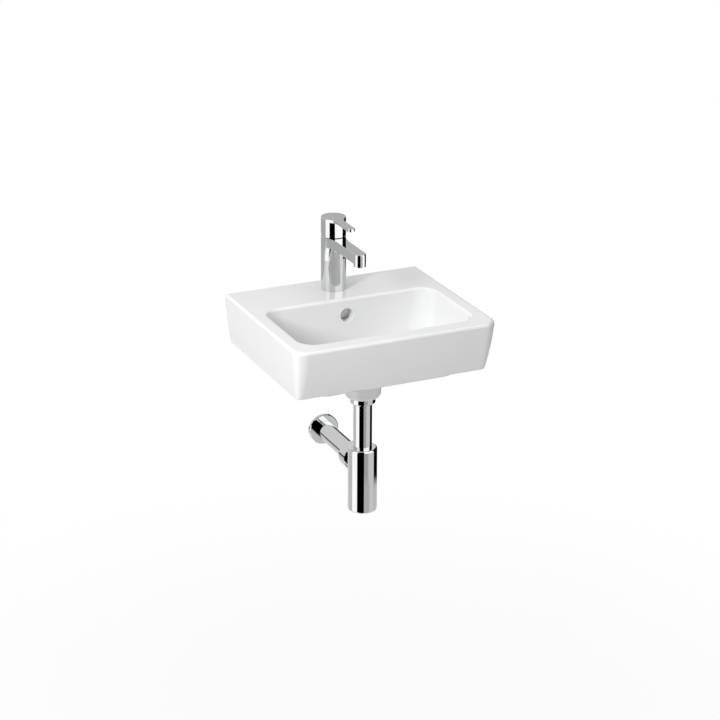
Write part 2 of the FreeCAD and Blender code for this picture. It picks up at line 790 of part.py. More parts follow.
def make_trap():
    """Inlet tube, bottle with side outlet, union, wall pipe and rosette."""
    tube = drain_body("inlet_tube")
    tube_top = "-(socket_top + inlet_seal_height)"
    turn(tube, [
        ("tube_radius - tube_wall", tube_top),
        ("tube_radius", tube_top),
        ("tube_radius", "-dip_depth"),
        ("tube_radius - tube_wall", "-dip_depth"),
    ])
    ring("inlet_seal", drain_body, "tail_bore", "tube_radius", tube_top, "-socket_top")

    cap = drain_body("trap_cap")
    spigot = "bottle_radius - bottle_wall - thread_gap"
    turn(cap, [
        ("tube_radius + slip_gap", "-bottle_top"),
        ("bottle_radius", "-bottle_top"),
        ("bottle_radius", "-bottle_seam"),
        (spigot, "-bottle_seam"),
        (spigot, "-cap_spigot_low"),
        (spigot + " - cap_spigot_wall", "-cap_spigot_low"),
        (spigot + " - cap_spigot_wall", "-(bottle_top + cap_plate)"),
        ("tube_radius + slip_gap", "-(bottle_top + cap_plate)"),
    ])
    top_level = number("-bottle_top")
    soften(cap, "bottle_round", lambda edge: flat_at(edge, top_level) and edge.BoundBox.XMax > 20)
    ring("cap_seal", drain_body, "tube_radius + film", spigot + " - cap_spigot_wall - film",
         "-cap_spigot_low", "-(bottle_top + cap_plate)")

    bottle = drain_body("trap_bottle")
    turn(bottle, [
        ("0", "-bottle_seam"),
        ("bottle_radius", "-bottle_seam"),
        ("bottle_radius", "-bottle_low"),
        ("0", "-bottle_low"),
    ])
    low_level = number("-bottle_low")
    soften(bottle, "bottle_round", lambda edge: flat_at(edge, low_level))
    spigot_face = new_sketch(bottle, "XZ_Plane")
    circle(spigot_face, "0", "-outlet_depth", "spigot_radius")
    raise_outline(bottle, spigot_face, "spigot_reach", backwards=True)
    thread = "cleanout_radius + thread_gap"
    flange = "cleanout_flange_radius + slip_gap"
    ledge = "-(bottle_low - cleanout_flange - cleanout_seal_height)"
    turn(bottle, [
        ("0", "-bottle_seam"),
        ("bottle_radius - bottle_wall", "-bottle_seam"),
        ("bottle_radius - bottle_wall", "-(bottle_low - bottle_floor)"),
        (thread, "-(bottle_low - bottle_floor)"),
        (thread, ledge),
        (flange, ledge),
        (flange, "-bottle_low"),
        ("0", "-bottle_low"),
    ], cut=True)
    way = new_sketch(bottle, "XZ_Plane")
    circle(way, "0", "-outlet_depth", "spigot_bore")
    raise_outline(bottle, way, "spigot_reach", cut=True)
    socket = new_sketch(bottle, "XZ_Plane", "-spigot_reach")
    circle(socket, "0", "-outlet_depth", "tube_radius + slip_gap")
    raise_outline(bottle, socket, "spigot_socket", cut=True, backwards=True)

    plug = drain_body("cleanout_plug")
    turn(plug, [
        ("0", "-(bottle_low - bottle_floor)"),
        ("cleanout_radius", "-(bottle_low - bottle_floor)"),
        ("cleanout_radius", "-(bottle_low - cleanout_flange)"),
        ("cleanout_flange_radius", "-(bottle_low - cleanout_flange)"),
        ("cleanout_flange_radius", "-bottle_low"),
        ("0", "-bottle_low"),
    ])
    slot = new_sketch(plug, "XY_Plane", "-bottle_low")
    polygon(slot, [
        ("-coin_slot_half", "-coin_slot_width / 2"),
        ("coin_slot_half", "-coin_slot_width / 2"),
        ("coin_slot_half", "coin_slot_width / 2"),
        ("-coin_slot_half", "coin_slot_width / 2"),
    ])
    raise_outline(plug, slot, "coin_slot_depth", cut=True, backwards=True)
    ring("cleanout_seal", drain_body, "cleanout_radius + slip_gap", "cleanout_flange_radius",
         "-(bottle_low - cleanout_flange)", ledge)

    lip = "outlet_nut_end - outlet_nut_lip"
    nut = outlet_body("outlet_nut")
    turn(nut, [
        ("spigot_radius + thread_gap", "outlet_nut_start"),
        ("outlet_nut_radius", "outlet_nut_start"),
        ("outlet_nut_radius", "outlet_nut_end - outlet_nut_chamfer"),
        ("outlet_nut_radius - outlet_nut_chamfer", "outlet_nut_end"),
        ("tube_radius + slip_gap", "outlet_nut_end"),
        ("tube_radius + slip_gap", lip),
        ("spigot_radius + thread_gap", lip),
    ])
    ring("outlet_seal", outlet_body, "tube_radius + film", "spigot_radius",
         "spigot_reach", "spigot_reach + outlet_seal_length")
    pipe_start = "spigot_reach - spigot_socket + pipe_end_gap"
    pipe = outlet_body("wall_pipe")
    turn(pipe, [
        ("tube_radius - tube_wall", pipe_start),
        ("tube_radius", pipe_start),
        ("tube_radius", "drain_reach"),
        ("tube_radius - pipe_end_step", "drain_reach"),
        ("tube_radius - pipe_end_step", "drain_reach + pipe_past_wall"),
        ("tube_radius - tube_wall", "drain_reach + pipe_past_wall"),
    ])
    rosette = outlet_body("wall_rosette")
    turn(rosette, [
        ("tube_radius + slip_gap", "drain_reach"),
        ("rosette_radius", "drain_reach"),
        ("rosette_radius", "drain_reach - rosette_height + rosette_chamfer"),
        ("rosette_radius - rosette_chamfer", "drain_reach - rosette_height"),
        ("tube_radius + slip_gap", "drain_reach - rosette_height"),
    ])


def arm_outline(sketch, tip_radius, half_width, reach_out, flare_start, hub_radius):
    """Bar with a round nose that flares by two arcs into a round hub, all tangent."""
    tip = number(tip_radius)
    half = number(half_width)
    reach = number(reach_out)
    start = number(flare_start)
    hub = number(hub_radius)
    flare = (half * half + start * start - hub * hub) / (2 * (hub - half))
    length = hub + flare
    touch = FreeCAD.Vector((half + flare) * hub / length, -start * hub / length, 0)
    spread = math.atan2(touch.y, touch.x)
    up = FreeCAD.Vector(0, 0, 1)
    nose_circle = Part.Circle(FreeCAD.Vector(0, -reach, 0), up, tip)
    lean = math.asin((half - tip) / (reach - start))
    nose = Part.ArcOfCircle(nose_circle, math.pi + lean, 2 * math.pi - lean)
    right_flare_circle = Part.Circle(FreeCAD.Vector(half + flare, -start, 0), up, flare)
    right_flare = Part.ArcOfCircle(right_flare_circle, math.pi + spread, math.pi)
    left_flare_circle = Part.Circle(FreeCAD.Vector(-half - flare, -start, 0), up, flare)
    left_flare = Part.ArcOfCircle(left_flare_circle, 0, -spread)
    back_circle = Part.Circle(FreeCAD.Vector(0, 0, 0), up, hub)
    back = Part.ArcOfCircle(back_circle, spread, math.pi - spread)
    right_side = Part.LineSegment(nose.EndPoint, FreeCAD.Vector(half, -start, 0))
    left_side = Part.LineSegment(FreeCAD.Vector(-half, -start, 0), nose.StartPoint)
    for shape in (nose, right_side, right_flare, back, left_flare, left_side):
        sketch.addGeometry(shape, False)
    joints = ((0, 2, 1, 1), (1, 2, 2, 2), (2, 1, 3, 1), (3, 2, 4, 2), (4, 1, 5, 1), (5, 2, 0, 1))
    for first, first_end, second, second_end in joints:
        sketch.addConstraint(Sketcher.Constraint("Tangent", first, first_end, second, second_end))
    pin_point(sketch, 0, 3, "0", "-" + reach_out)
    pin_point(sketch, 3, 3, "0", "0")
    pin_point(sketch, 1, 2, half_width, "-" + flare_start)
    pin_point(sketch, 5, 1, "-" + half_width, "-" + flare_start)
    for geometry, radius in ((0, tip_radius), (3, hub_radius)):
        size = sketch.addConstraint(Sketcher.Constraint("Radius", geometry, number(radius)))
        bind(sketch, "Constraints[%d]" % size, radius)


def make_tap_body():
    """Cast body with spout, stepped cartridge bore, waterway, inlets, stud bore and gasket groove."""
    body = tap_piece("tap_body")
    turn(body, [("0", "0"), ("tap_radius", "0"), ("tap_radius", "tap_height"), ("0", "tap_height")])
    outline = new_sketch(body, "XY_Plane", "spout_low")
    arm_outline(outline, "spout_tip_radius", "spout_half_width", "spout_reach", "spout_flare_start",
                "tap_radius")
    raise_outline(body, outline, "tap_height - spout_low")
    soften(body, "spout_edge_round", lambda edge: flat_at(edge, number("tap_height")))
    turn(body, [
        ("0", "cartridge_seat"),
        ("cartridge_bore", "cartridge_seat"),
        ("cartridge_bore", "gallery_low"),
        ("gallery_radius", "gallery_low"),
        ("gallery_radius", "gallery_top"),
        ("nut_bore", "gallery_top"),
        ("nut_bore", "tap_height"),
        ("0", "tap_height"),
    ], cut=True)
    side_profile(body, [
        ("-waterway_start", "waterway_low"),
        ("-waterway_end", "waterway_low + waterway_rise"),
        ("-waterway_end", "waterway_high + waterway_rise"),
        ("-waterway_start", "waterway_high"),
    ], "waterway_half_width", cut=True)
    drill(body, "0", "-spout_reach", "aerator_bore", "spout_low",
          "aerator_bore_top - spout_low", upwards=True)
    for side in ("", "-"):
        drill(body, side + "inlet_offset", "inlet_back", "inlet_radius", "0", "inlet_length", upwards=True)
        drill(body, side + "inlet_offset", "inlet_back", "inlet_radius + passage_step", "inlet_length",
              "cartridge_seat - inlet_length - port_length", upwards=True)
        drill(body, side + "inlet_offset", "inlet_back", "port_radius", "0", "cartridge_seat", upwards=True)
    drill(body, "0", "-stud_offset", "stud_radius + thread_gap", "0", "inlet_length", upwards=True)
    turn(body, [
        ("gasket_inner", "0"),
        ("gasket_outer", "0"),
        ("gasket_outer", "gasket_height"),
        ("gasket_inner", "gasket_height"),
    ], cut=True)
    ring("tap_base_gasket", tap_piece, "gasket_inner", "gasket_outer", "0", "gasket_height")


def clamp_piece(label, high, low):
    """Horseshoe that passes round the hoses and is held by the stud."""
    body = tap_piece(label)
    disc = new_sketch(body, "XY_Plane", low)
    circle(disc, "0", "0", "clamp_radius")
    raise_outline(body, disc, "(%s) - (%s)" % (high, low))
    slot = new_sketch(body, "XY_Plane", high)
    polygon(slot, [
        ("-clamp_slot_half", "-clamp_slot_start"),
        ("clamp_slot_half", "-clamp_slot_start"),
        ("clamp_slot_half", "2 * clamp_radius"),
        ("-clamp_slot_half", "2 * clamp_radius"),
    ])
    raise_outline(body, slot, "(%s) - (%s)" % (high, low), cut=True)
    drill(body, "0", "-stud_offset", "stud_radius + thread_gap", high, "(%s) - (%s)" % (high, low))


def make_tap_fixing():
    gasket_low = "-(deck_thickness + clamp_gasket_height)"
    plate_low = "-(deck_thickness + clamp_gasket_height + clamp_plate_height)"
    nut_low = "-(deck_thickness + clamp_gasket_height + clamp_plate_height + stud_nut_height)"
    clamp_piece("clamp_gasket", "-deck_thickness", gasket_low)
    clamp_piece("clamp_plate", gasket_low, plate_low)
    stud = tap_piece("fixing_stud")
    rod = new_sketch(stud, "XY_Plane", "-stud_low")
    circle(rod, "0", "-stud_offset", "stud_radius")
    raise_outline(stud, rod, "stud_low + inlet_length")
    nut = tap_piece("fixing_nut")
    hexagon = new_sketch(nut, "XY_Plane", nut_low)
    corner = "stud_nut_flat * 2 / sqrt(3)"
    half = "stud_nut_flat / sqrt(3)"
    polygon(hexagon, [
        (corner, "-stud_offset"),
        (half, "stud_nut_flat - stud_offset"),
        ("-" + half, "stud_nut_flat - stud_offset"),
        ("-" + corner, "-stud_offset"),
        ("-" + half, "-stud_nut_flat - stud_offset"),
        (half, "-stud_nut_flat - stud_offset"),
    ])
    raise_outline(nut, hexagon, "stud_nut_height")
    drill(nut, "0", "-stud_offset", "stud_radius + thread_gap", plate_low, "stud_nut_height")


def make_cartridge():
    """Ceramic-disc cartridge: housing, discs, turning carrier, tilting stem, pin and ring nut."""
    sleeve_low = "cartridge_seat + cartridge_seal_height"
    ring("cartridge_seal", tap_piece, "cartridge_seal_inner", "cartridge_radius",
         "cartridge_seat", sleeve_low)
    housing = tap_piece("cartridge_housing")
    turn(housing, [
        ("0", sleeve_low),
        ("cartridge_radius", sleeve_low),
        ("cartridge_radius", "housing_top"),
        ("housing_mouth", "housing_top"),
        ("housing_mouth", "housing_roof"),
        ("housing_bore", "housing_roof"),
        ("housing_bore", "housing_floor"),
        ("0", "housing_floor"),
    ])
    window = new_sketch(housing, "XZ_Plane")
    polygon(window, [
        ("-waterway_half_width", "housing_window_low"),
        ("waterway_half_width", "housing_window_low"),
        ("waterway_half_width", "housing_window_top"),
        ("-waterway_half_width", "housing_window_top"),
    ])
    raise_outline(housing, window, "2 * cartridge_radius", cut=True, backwards=True)
    fixed = tap_piece("fixed_disc")
    turn(fixed, [
        ("0", "housing_floor"),
        ("disc_radius", "housing_floor"),
        ("disc_radius", "disc_top"),
        ("0", "disc_top"),
    ])
    for body, top, depth in ((housing, "housing_floor", "housing_floor - (%s)" % sleeve_low),
                             (fixed, "disc_top", "disc_top - housing_floor")):
        for side in ("", "-"):
            drill(body, side + "inlet_offset", "inlet_back", "port_radius", top, depth)
    slider = tap_piece("moving_disc")
    turn(slider, [
        ("0", "disc_top + disc_film"),
        ("slider_radius", "disc_top + disc_film"),
        ("slider_radius", "slider_top"),
        ("slider_socket", "slider_top"),
        ("slider_socket", "slider_floor"),
        ("0", "slider_floor"),
    ])
    carrier = tap_piece("cartridge_carrier")
    turn(carrier, [
        ("0", "carrier_low"),
        ("carrier_radius", "carrier_low"),
        ("carrier_radius", "carrier_top"),
        ("0", "carrier_top"),
    ])
    slot = new_sketch(carrier, "XY_Plane", "carrier_top")
    polygon(slot, [
        ("-carrier_slot_half", "-carrier_slot_length"),
        ("carrier_slot_half", "-carrier_slot_length"),
        ("carrier_slot_half", "carrier_slot_length"),
        ("-carrier_slot_half", "carrier_slot_length"),
    ])
    raise_outline(carrier, slot, "carrier_top - carrier_low", cut=True)
    pivot_hole = new_sketch(carrier, "YZ_Plane")
    circle(pivot_hole, "0", "pivot_height", "pivot_radius")
    raise_outline(carrier, pivot_hole, "2 * pivot_half_length", both_sides=True, cut=True)
    pin = tap_piece("stem_pin")
    rod = new_sketch(pin, "YZ_Plane")
    circle(rod, "0", "pivot_height", "pivot_radius")
    raise_outline(pin, rod, "2 * pivot_half_length", both_sides=True)
    stem = tap_piece("cartridge_stem")
    turn(stem, [
        ("0", "stem_low"),
        ("stem_neck", "stem_low"),
        ("stem_knob", "stem_knob_low"),
        ("stem_knob", "stem_knob_top"),
        ("stem_neck", "stem_neck_low"),
        ("stem_neck", "stem_neck_top"),
        ("stem_radius", "stem_neck_top + stem_radius - stem_neck"),
        ("stem_radius", "stem_top"),
        ("0", "stem_top"),
    ])
    pin_hole = new_sketch(stem, "YZ_Plane")
    circle(pin_hole, "0", "pivot_height", "pivot_radius + run_gap")
    raise_outline(stem, pin_hole, "4 * stem_radius", both_sides=True, cut=True)
    nut = tap_piece("cartridge_nut")
    turn(nut, [
        ("ring_nut_inner", "housing_top"),
        ("ring_nut_radius", "housing_top"),
        ("ring_nut_radius", "tap_height"),
        ("ring_nut_radius - film", "ring_nut_top"),
        ("ring_nut_inner", "ring_nut_top"),
    ])
    notch = new_sketch(nut, "XZ_Plane")
    polygon(notch, [
        ("-ring_nut_notch", "ring_nut_top - ring_nut_notch"),
        ("ring_nut_notch", "ring_nut_top - ring_nut_notch"),
        ("ring_nut_notch", "ring_nut_top"),
        ("-ring_nut_notch", "ring_nut_top"),
    ])
    raise_outline(nut, notch, "3 * ring_nut_radius", both_sides=True, cut=True)
    make_cartridge_cover()


def make_cartridge_cover():
    """Ring whose outer face is part of a ball about the stem pin, so that the handle clears it."""
    cover = tap_piece("cartridge_cover")
    outer = []
    for rise in ("0", "joint_gap", "2 * joint_gap", "3 * joint_gap"):
        height = "tap_height + " + rise
        outer.append(("sqrt(cover_ball ^ 2 - (%s - pivot_height) ^ 2)" % height, height))
    crown = "pivot_height + sqrt(cover_ball ^ 2 - cover_mouth ^ 2)"
    turn(cover, [
        ("ring_nut_radius + slip_gap", "tap_height"),
        *outer,
        ("cover_mouth", crown),
        ("cover_mouth", "ring_nut_top + film"),
        ("ring_nut_radius + slip_gap", "ring_nut_top + film"),
    ])


def make_handle():
    """Cap with lever, inner boss with rib for the stem, and a relief behind so that it can tilt."""
    low = "handle_low"
    handle = tap_piece("lever_handle")
    turn(handle, [
        ("0", "handle_top"),
        ("tap_radius", "handle_top"),
        ("tap_radius", low),
        ("0", low),
    ])
    lever = new_sketch(handle, "XY_Plane", "handle_top - lever_thickness")
    arm_outline(lever, "lever_tip_radius", "lever_half_width", "lever_reach", "lever_flare_start",
                "tap_radius")
    raise_outline(handle, lever, "lever_thickness")
    soften(handle, "handle_round", lambda edge: flat_at(edge, number("handle_top")))
    turn(handle, [
        ("0", low),
        ("handle_inner", low),
        ("handle_inner", "handle_roof"),
        ("0", "handle_roof"),
    ], cut=True)
    side_profile(handle, [
        ("-relief_start", low + " - film"),
        ("tap_radius + joint_gap", low + " - film"),
        ("tap_radius + joint_gap", low + " + relief_rise"),
    ], "2 * tap_radius", cut=True)
    boss = new_sketch(handle, "XY_Plane", "boss_low")
    circle(boss, "0", "0", "boss_radius")
    raise_outline(handle, boss, "handle_roof - boss_low")
    side_profile(handle, [
        ("0", "boss_low + joint_gap"),
        ("(handle_inner + tap_radius) / 2", "boss_low + joint_gap"),
        ("(handle_inner + tap_radius) / 2", "handle_roof + joint_gap"),
        ("0", "handle_roof + joint_gap"),
    ], "rib_half_width")
    drill(handle, "0", "0", "stem_radius + thread_gap", "boss_low",
          "stem_top + film - boss_low", upwards=True)
    screw_way = new_sketch(handle, "XZ_Plane")
    circle(screw_way, "0", "grub_height", "grub_radius + thread_gap")
    raise_outline(handle, screw_way, "2 * tap_radius", cut=True)
    seat = new_sketch(handle, "XZ_Plane", "-(tap_radius - cover_length)")
    circle(seat, "0", "grub_height", "cover_radius + thread_gap")
    raise_outline(handle, seat, "tap_radius", cut=True)
    screw = tap_piece("grub_screw")
    rod = new_sketch(screw, "XZ_Plane", "-(stem_radius + film)")
    circle(rod, "0", "grub_height", "grub_radius")
    raise_outline(screw, rod, "grub_length", backwards=True)
    cover = tap_piece("screw_cover")
    button = new_sketch(cover, "XZ_Plane", "-(tap_radius - cover_length + film)")
    circle(button, "0", "grub_height", "cover_radius")
    raise_outline(cover, button, "cover_length - 2 * film", backwards=True)


def make_aerator():
    def place(label):
        return new_body(label, y="-(tap_reach + spout_reach)", z="rim_height")

    shell = place("aerator_ring")
    turn(shell, [
        ("aerator_inner", "spout_low - aerator_drop"),
        ("aerator_ring_radius", "spout_low - aerator_drop"),
        ("aerator_ring_radius", "spout_low"),
        ("aerator_neck", "spout_low"),
        ("aerator_neck", "aerator_neck_top"),
        ("aerator_inner", "aerator_neck_top"),
    ])
    insert = place("aerator_insert")
    turn(insert, [
        ("0", "aerator_insert_low"),
        ("aerator_inner - thread_gap", "aerator_insert_low"),
        ("aerator_inner - thread_gap", "aerator_insert_top"),
        ("0", "aerator_insert_top"),
    ])
    hole = drill(insert, "aerator_hole_circle", "0", "aerator_hole", "aerator_insert_top",
                 "aerator_insert_top - aerator_insert_low")
    document.recompute()
    holes = insert.newObject("PartDesign::PolarPattern", "holes")
    holes.Originals = [hole]
    holes.Axis = (hole.Profile[0], ["N_Axis"])
    holes.Angle = 360
    holes.Occurrences = 6
    insert.Tip = holes
    ring("aerator_seal", place, "aerator_seal_inner", "aerator_neck",
         "aerator_neck_top", "aerator_neck_top + aerator_seal_height")


make_basin()
flange_top = make_waste()
make_plug(flange_top)
make_trap()
make_tap_body()
make_tap_fixing()
make_cartridge()
make_handle()
make_aerator()
document.removeObject(sums.Name)
document.recompute()

for item in document.Objects:
    if "Invalid" in item.State or "Error" in item.State:
        raise RuntimeError("feature failed: " + item.Name)

os.makedirs("parts", exist_ok=True)
for body in bodies:
    if body.Shape.isNull() or not body.Shape.isValid():
        raise RuntimeError("no valid solid: " + body.Label)
    print("%-20s solids %d volume %.1f" % (body.Label, len(body.Shape.Solids), body.Shape.Volume))
    body.Shape.exportStep(os.path.join("parts", body.Label + ".step"))
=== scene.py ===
import json
import math

import bmesh
import bpy
from mathutils import Matrix, Vector


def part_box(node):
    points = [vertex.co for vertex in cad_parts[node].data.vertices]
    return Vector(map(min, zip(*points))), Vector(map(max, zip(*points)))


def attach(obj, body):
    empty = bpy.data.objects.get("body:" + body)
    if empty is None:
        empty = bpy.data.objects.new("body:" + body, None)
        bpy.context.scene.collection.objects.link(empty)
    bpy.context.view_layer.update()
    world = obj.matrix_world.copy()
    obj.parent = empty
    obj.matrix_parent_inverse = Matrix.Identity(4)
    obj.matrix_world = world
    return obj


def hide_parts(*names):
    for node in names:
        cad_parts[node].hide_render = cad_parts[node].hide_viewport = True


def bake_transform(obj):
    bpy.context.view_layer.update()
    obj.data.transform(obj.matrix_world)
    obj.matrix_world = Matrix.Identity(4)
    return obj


# Hand basin with tap and trap: finishes, small turned details, studio and camera.
# Metres, in the same frame as the part: +Y into the wall, +Z up, origin between the wall holes.

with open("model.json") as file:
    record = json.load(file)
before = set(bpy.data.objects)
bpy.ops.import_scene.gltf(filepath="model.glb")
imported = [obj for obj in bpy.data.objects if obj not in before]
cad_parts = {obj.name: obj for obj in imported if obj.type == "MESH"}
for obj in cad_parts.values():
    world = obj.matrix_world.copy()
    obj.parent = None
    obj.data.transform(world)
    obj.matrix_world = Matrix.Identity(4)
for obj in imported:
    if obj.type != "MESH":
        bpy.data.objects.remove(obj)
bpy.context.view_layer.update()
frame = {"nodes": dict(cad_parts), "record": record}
nodes = frame["nodes"]

FIXED_BODY = "basin_and_fittings"

# Level of the basin's rim, and its height above the floor.
RIM = 0.045
RIM_HEIGHT = 0.85

# Tap stud: thread pitch, depth and facets in each turn, and the thread's section as shares of
# the core's radius and of the pitch.
STUD_PITCH = 0.00125
STUD_THREAD_DEPTH = 0.0007
STUD_STEPS = 24
THREAD_SINK = 0.96
THREAD_FOOT = 0.03
THREAD_CREST = 0.44

# Aerator screen: wire spacing, wire radius and wire facets.
WIRE_SPACING = 0.001
WIRE_HALF = 0.0002
WIRE_FACETS = 8

# Plug spring: wire radius, turns, facets in each turn and facets round the wire.
COIL_WIRE = 0.00055
COIL_TURNS = 4
COIL_STEPS = 32
COIL_FACETS = 12

# The glaze fades to bare ceramic between these depths, just in front of the wall.
BARE_FROM = -0.0012
BARE_TO = -0.0004
BARE_COLOUR = (0.78, 0.755, 0.71, 1.0)
BARE_ROUGHNESS = 0.75

# Height of rubbing marks and grain.
FINE_DEPTH = 0.0001


# Shared surface effects

def new_group(name, inputs, outputs):
    """Start a shader group with named sockets."""
    group = bpy.data.node_groups.new(name, "ShaderNodeTree")
    for label, value in inputs:
        socket = group.interface.new_socket(name=label, in_out="INPUT", socket_type="NodeSocketFloat")
        socket.default_value = value
    for label in outputs:
        group.interface.new_socket(name=label, in_out="OUTPUT", socket_type="NodeSocketFloat")
    return group, group.nodes.new("NodeGroupInput"), group.nodes.new("NodeGroupOutput")


def make_mottle():
    """Slow blotches over the surface, mapped between two values."""
    group, entry, leave = new_group("mottle", [("Scale", 20.0), ("Low", 0.0), ("High", 1.0)], ["Value"])
    place = group.nodes.new("ShaderNodeTexCoord")
    noise = group.nodes.new("ShaderNodeTexNoise")
    noise.inputs["Detail"].default_value = 4.0
    noise.inputs["Roughness"].default_value = 0.55
    spread = group.nodes.new("ShaderNodeMapRange")
    spread.inputs["From Min"].default_value = 0.3
    spread.inputs["From Max"].default_value = 0.7
    links = group.links
    links.new(place.outputs["Object"], noise.inputs["Vector"])
    links.new(entry.outputs["Scale"], noise.inputs["Scale"])
    links.new(noise.outputs["Fac"], spread.inputs["Value"])
    links.new(entry.outputs["Low"], spread.inputs["To Min"])
    links.new(entry.outputs["High"], spread.inputs["To Max"])
    links.new(spread.outputs["Result"], leave.inputs["Value"])
    return group


def make_hairlines():
    """Fine rubbing marks in two crossing directions, as a height."""
    group, entry, leave = new_group("hairlines", [("Scale", 300.0), ("Stretch", 12.0)], ["Height"])
    links = group.links
    place = group.nodes.new("ShaderNodeTexCoord")
    marks = []
    for turn in (0.5, -0.9):
        squeeze = group.nodes.new("ShaderNodeMapping")
        squeeze.inputs["Rotation"].default_value = (turn, turn * 0.7, turn)
        squeeze.inputs["Scale"].default_value = (1.0, 1.0, 0.08)
        noise = group.nodes.new("ShaderNodeTexNoise")
        noise.inputs["Detail"].default_value = 2.0
        links.new(place.outputs["Object"], squeeze.inputs["Vector"])
        links.new(squeeze.outputs["Vector"], noise.inputs["Vector"])
        links.new(entry.outputs["Scale"], noise.inputs["Scale"])
        links.new(entry.outputs["Stretch"], noise.inputs["Distortion"])
        marks.append(noise)
    crossing = group.nodes.new("ShaderNodeMath")
    crossing.operation = "MULTIPLY"
    links.new(marks[0].outputs["Fac"], crossing.inputs[0])
    links.new(marks[1].outputs["Fac"], crossing.inputs[1])
    links.new(crossing.outputs["Value"], leave.inputs["Height"])
    return group


mottle = make_mottle()
hairlines = make_hairlines()


# Finishes

class Finish:
    """A material with its Principled shader and short ways to place nodes."""

    def __init__(self, name):
        self.material = bpy.data.materials.new(name)
        self.material.use_nodes = True
        self.tree = self.material.node_tree
        self.shader = self.tree.nodes["Principled BSDF"]

    def node(self, kind, **settings):
        made = self.tree.nodes.new("ShaderNode" + kind)
        for key, value in settings.items():
            setattr(made, key, value)
        return made

    def group(self, tree, **values):
        made = self.node("Group", node_tree=tree)
        for key, value in values.items():
            made.inputs[key].default_value = value
        return made

    def link(self, start, end):
        self.tree.links.new(start, end)

    def set(self, **values):
        for key, value in values.items():
            self.shader.inputs[key.replace("_", " ")].default_value = value

    def vary_colour(self, first, second, scale):
        """Blend slowly between two close colours."""
        blotch = self.group(mottle, Scale=scale)
        mix = self.node("Mix", data_type="RGBA")
        mix.inputs["A"].default_value = (*first, 1.0)
        mix.inputs["B"].default_value = (*second, 1.0)
        self.link(blotch.outputs["Value"], mix.inputs["Factor"])
        self.link(mix.outputs["Result"], self.shader.inputs["Base Color"])
        return mix

    def vary_roughness(self, low, high, scale):
        blotch = self.group(mottle, Scale=scale, Low=low, High=high)
        self.link(blotch.outputs["Value"], self.shader.inputs["Roughness"])
        return blotch

    def bump(self, height, strength, distance):
        relief = self.node("Bump")
        relief.inputs["Strength"].default_value = strength
        relief.inputs["Distance"].default_value = distance
        self.link(height, relief.inputs["Height"])
        self.link(relief.outputs["Normal"], self.shader.inputs["Normal"])


def make_glaze():
    """White glaze with a slow wave in it, bare and matt where the basin meets the wall."""
    finish = Finish("white_glaze")
    glaze_colour = finish.vary_colour((0.87, 0.872, 0.87), (0.84, 0.842, 0.845), scale=9.0)
    glaze_gloss = finish.vary_roughness(low=0.05, high=0.1, scale=30.0)
    place = finish.node("TexCoord")
    split = finish.node("SeparateXYZ")
    finish.link(place.outputs["Object"], split.inputs["Vector"])
    back = finish.node("MapRange")
    back.inputs["From Min"].default_value = BARE_FROM
    back.inputs["From Max"].default_value = BARE_TO
    finish.link(split.outputs["Y"], back.inputs["Value"])
    bare_colour = finish.node("Mix", data_type="RGBA")
    bare_colour.inputs["B"].default_value = BARE_COLOUR
    finish.link(back.outputs["Result"], bare_colour.inputs["Factor"])
    finish.link(glaze_colour.outputs["Result"], bare_colour.inputs["A"])
    finish.link(bare_colour.outputs["Result"], finish.shader.inputs["Base Color"])
    bare_gloss = finish.node("Mix", data_type="FLOAT")
    bare_gloss.inputs["B"].default_value = BARE_ROUGHNESS
    finish.link(back.outputs["Result"], bare_gloss.inputs["Factor"])
    finish.link(glaze_gloss.outputs["Value"], bare_gloss.inputs["A"])
    finish.link(bare_gloss.outputs["Result"], finish.shader.inputs["Roughness"])
    wave = finish.group(mottle, Scale=14.0)
    finish.bump(wave.outputs["Value"], strength=0.06, distance=0.0006)
    finish.set(IOR=1.52)
    return finish.material


def make_metal(name, tones, tone_scale, roughness, rough_scale, marks_scale, stretch, relief):
    """Metal with two close tones, uneven gloss and fine rubbing marks."""
    finish = Finish(name)
    finish.vary_colour(*tones, tone_scale)
    finish.vary_roughness(*roughness, rough_scale)
    marks = finish.group(hairlines, Scale=marks_scale, Stretch=stretch)
    finish.bump(marks.outputs["Height"], relief, FINE_DEPTH)
    finish.set(Metallic=1.0)
    return finish.material


def make_moulded(name, tones, tone_scale, roughness, rough_scale, grain_scale, relief, depth=FINE_DEPTH):
    """Moulded or pressed material with two close tones, uneven gloss and a fine grain."""
    finish = Finish(name)
    finish.vary_colour(*tones, tone_scale)
    finish.vary_roughness(*roughness, rough_scale)
    grain = finish.group(mottle, Scale=grain_scale)
    finish.bump(grain.outputs["Value"], relief, depth)
    return finish.material


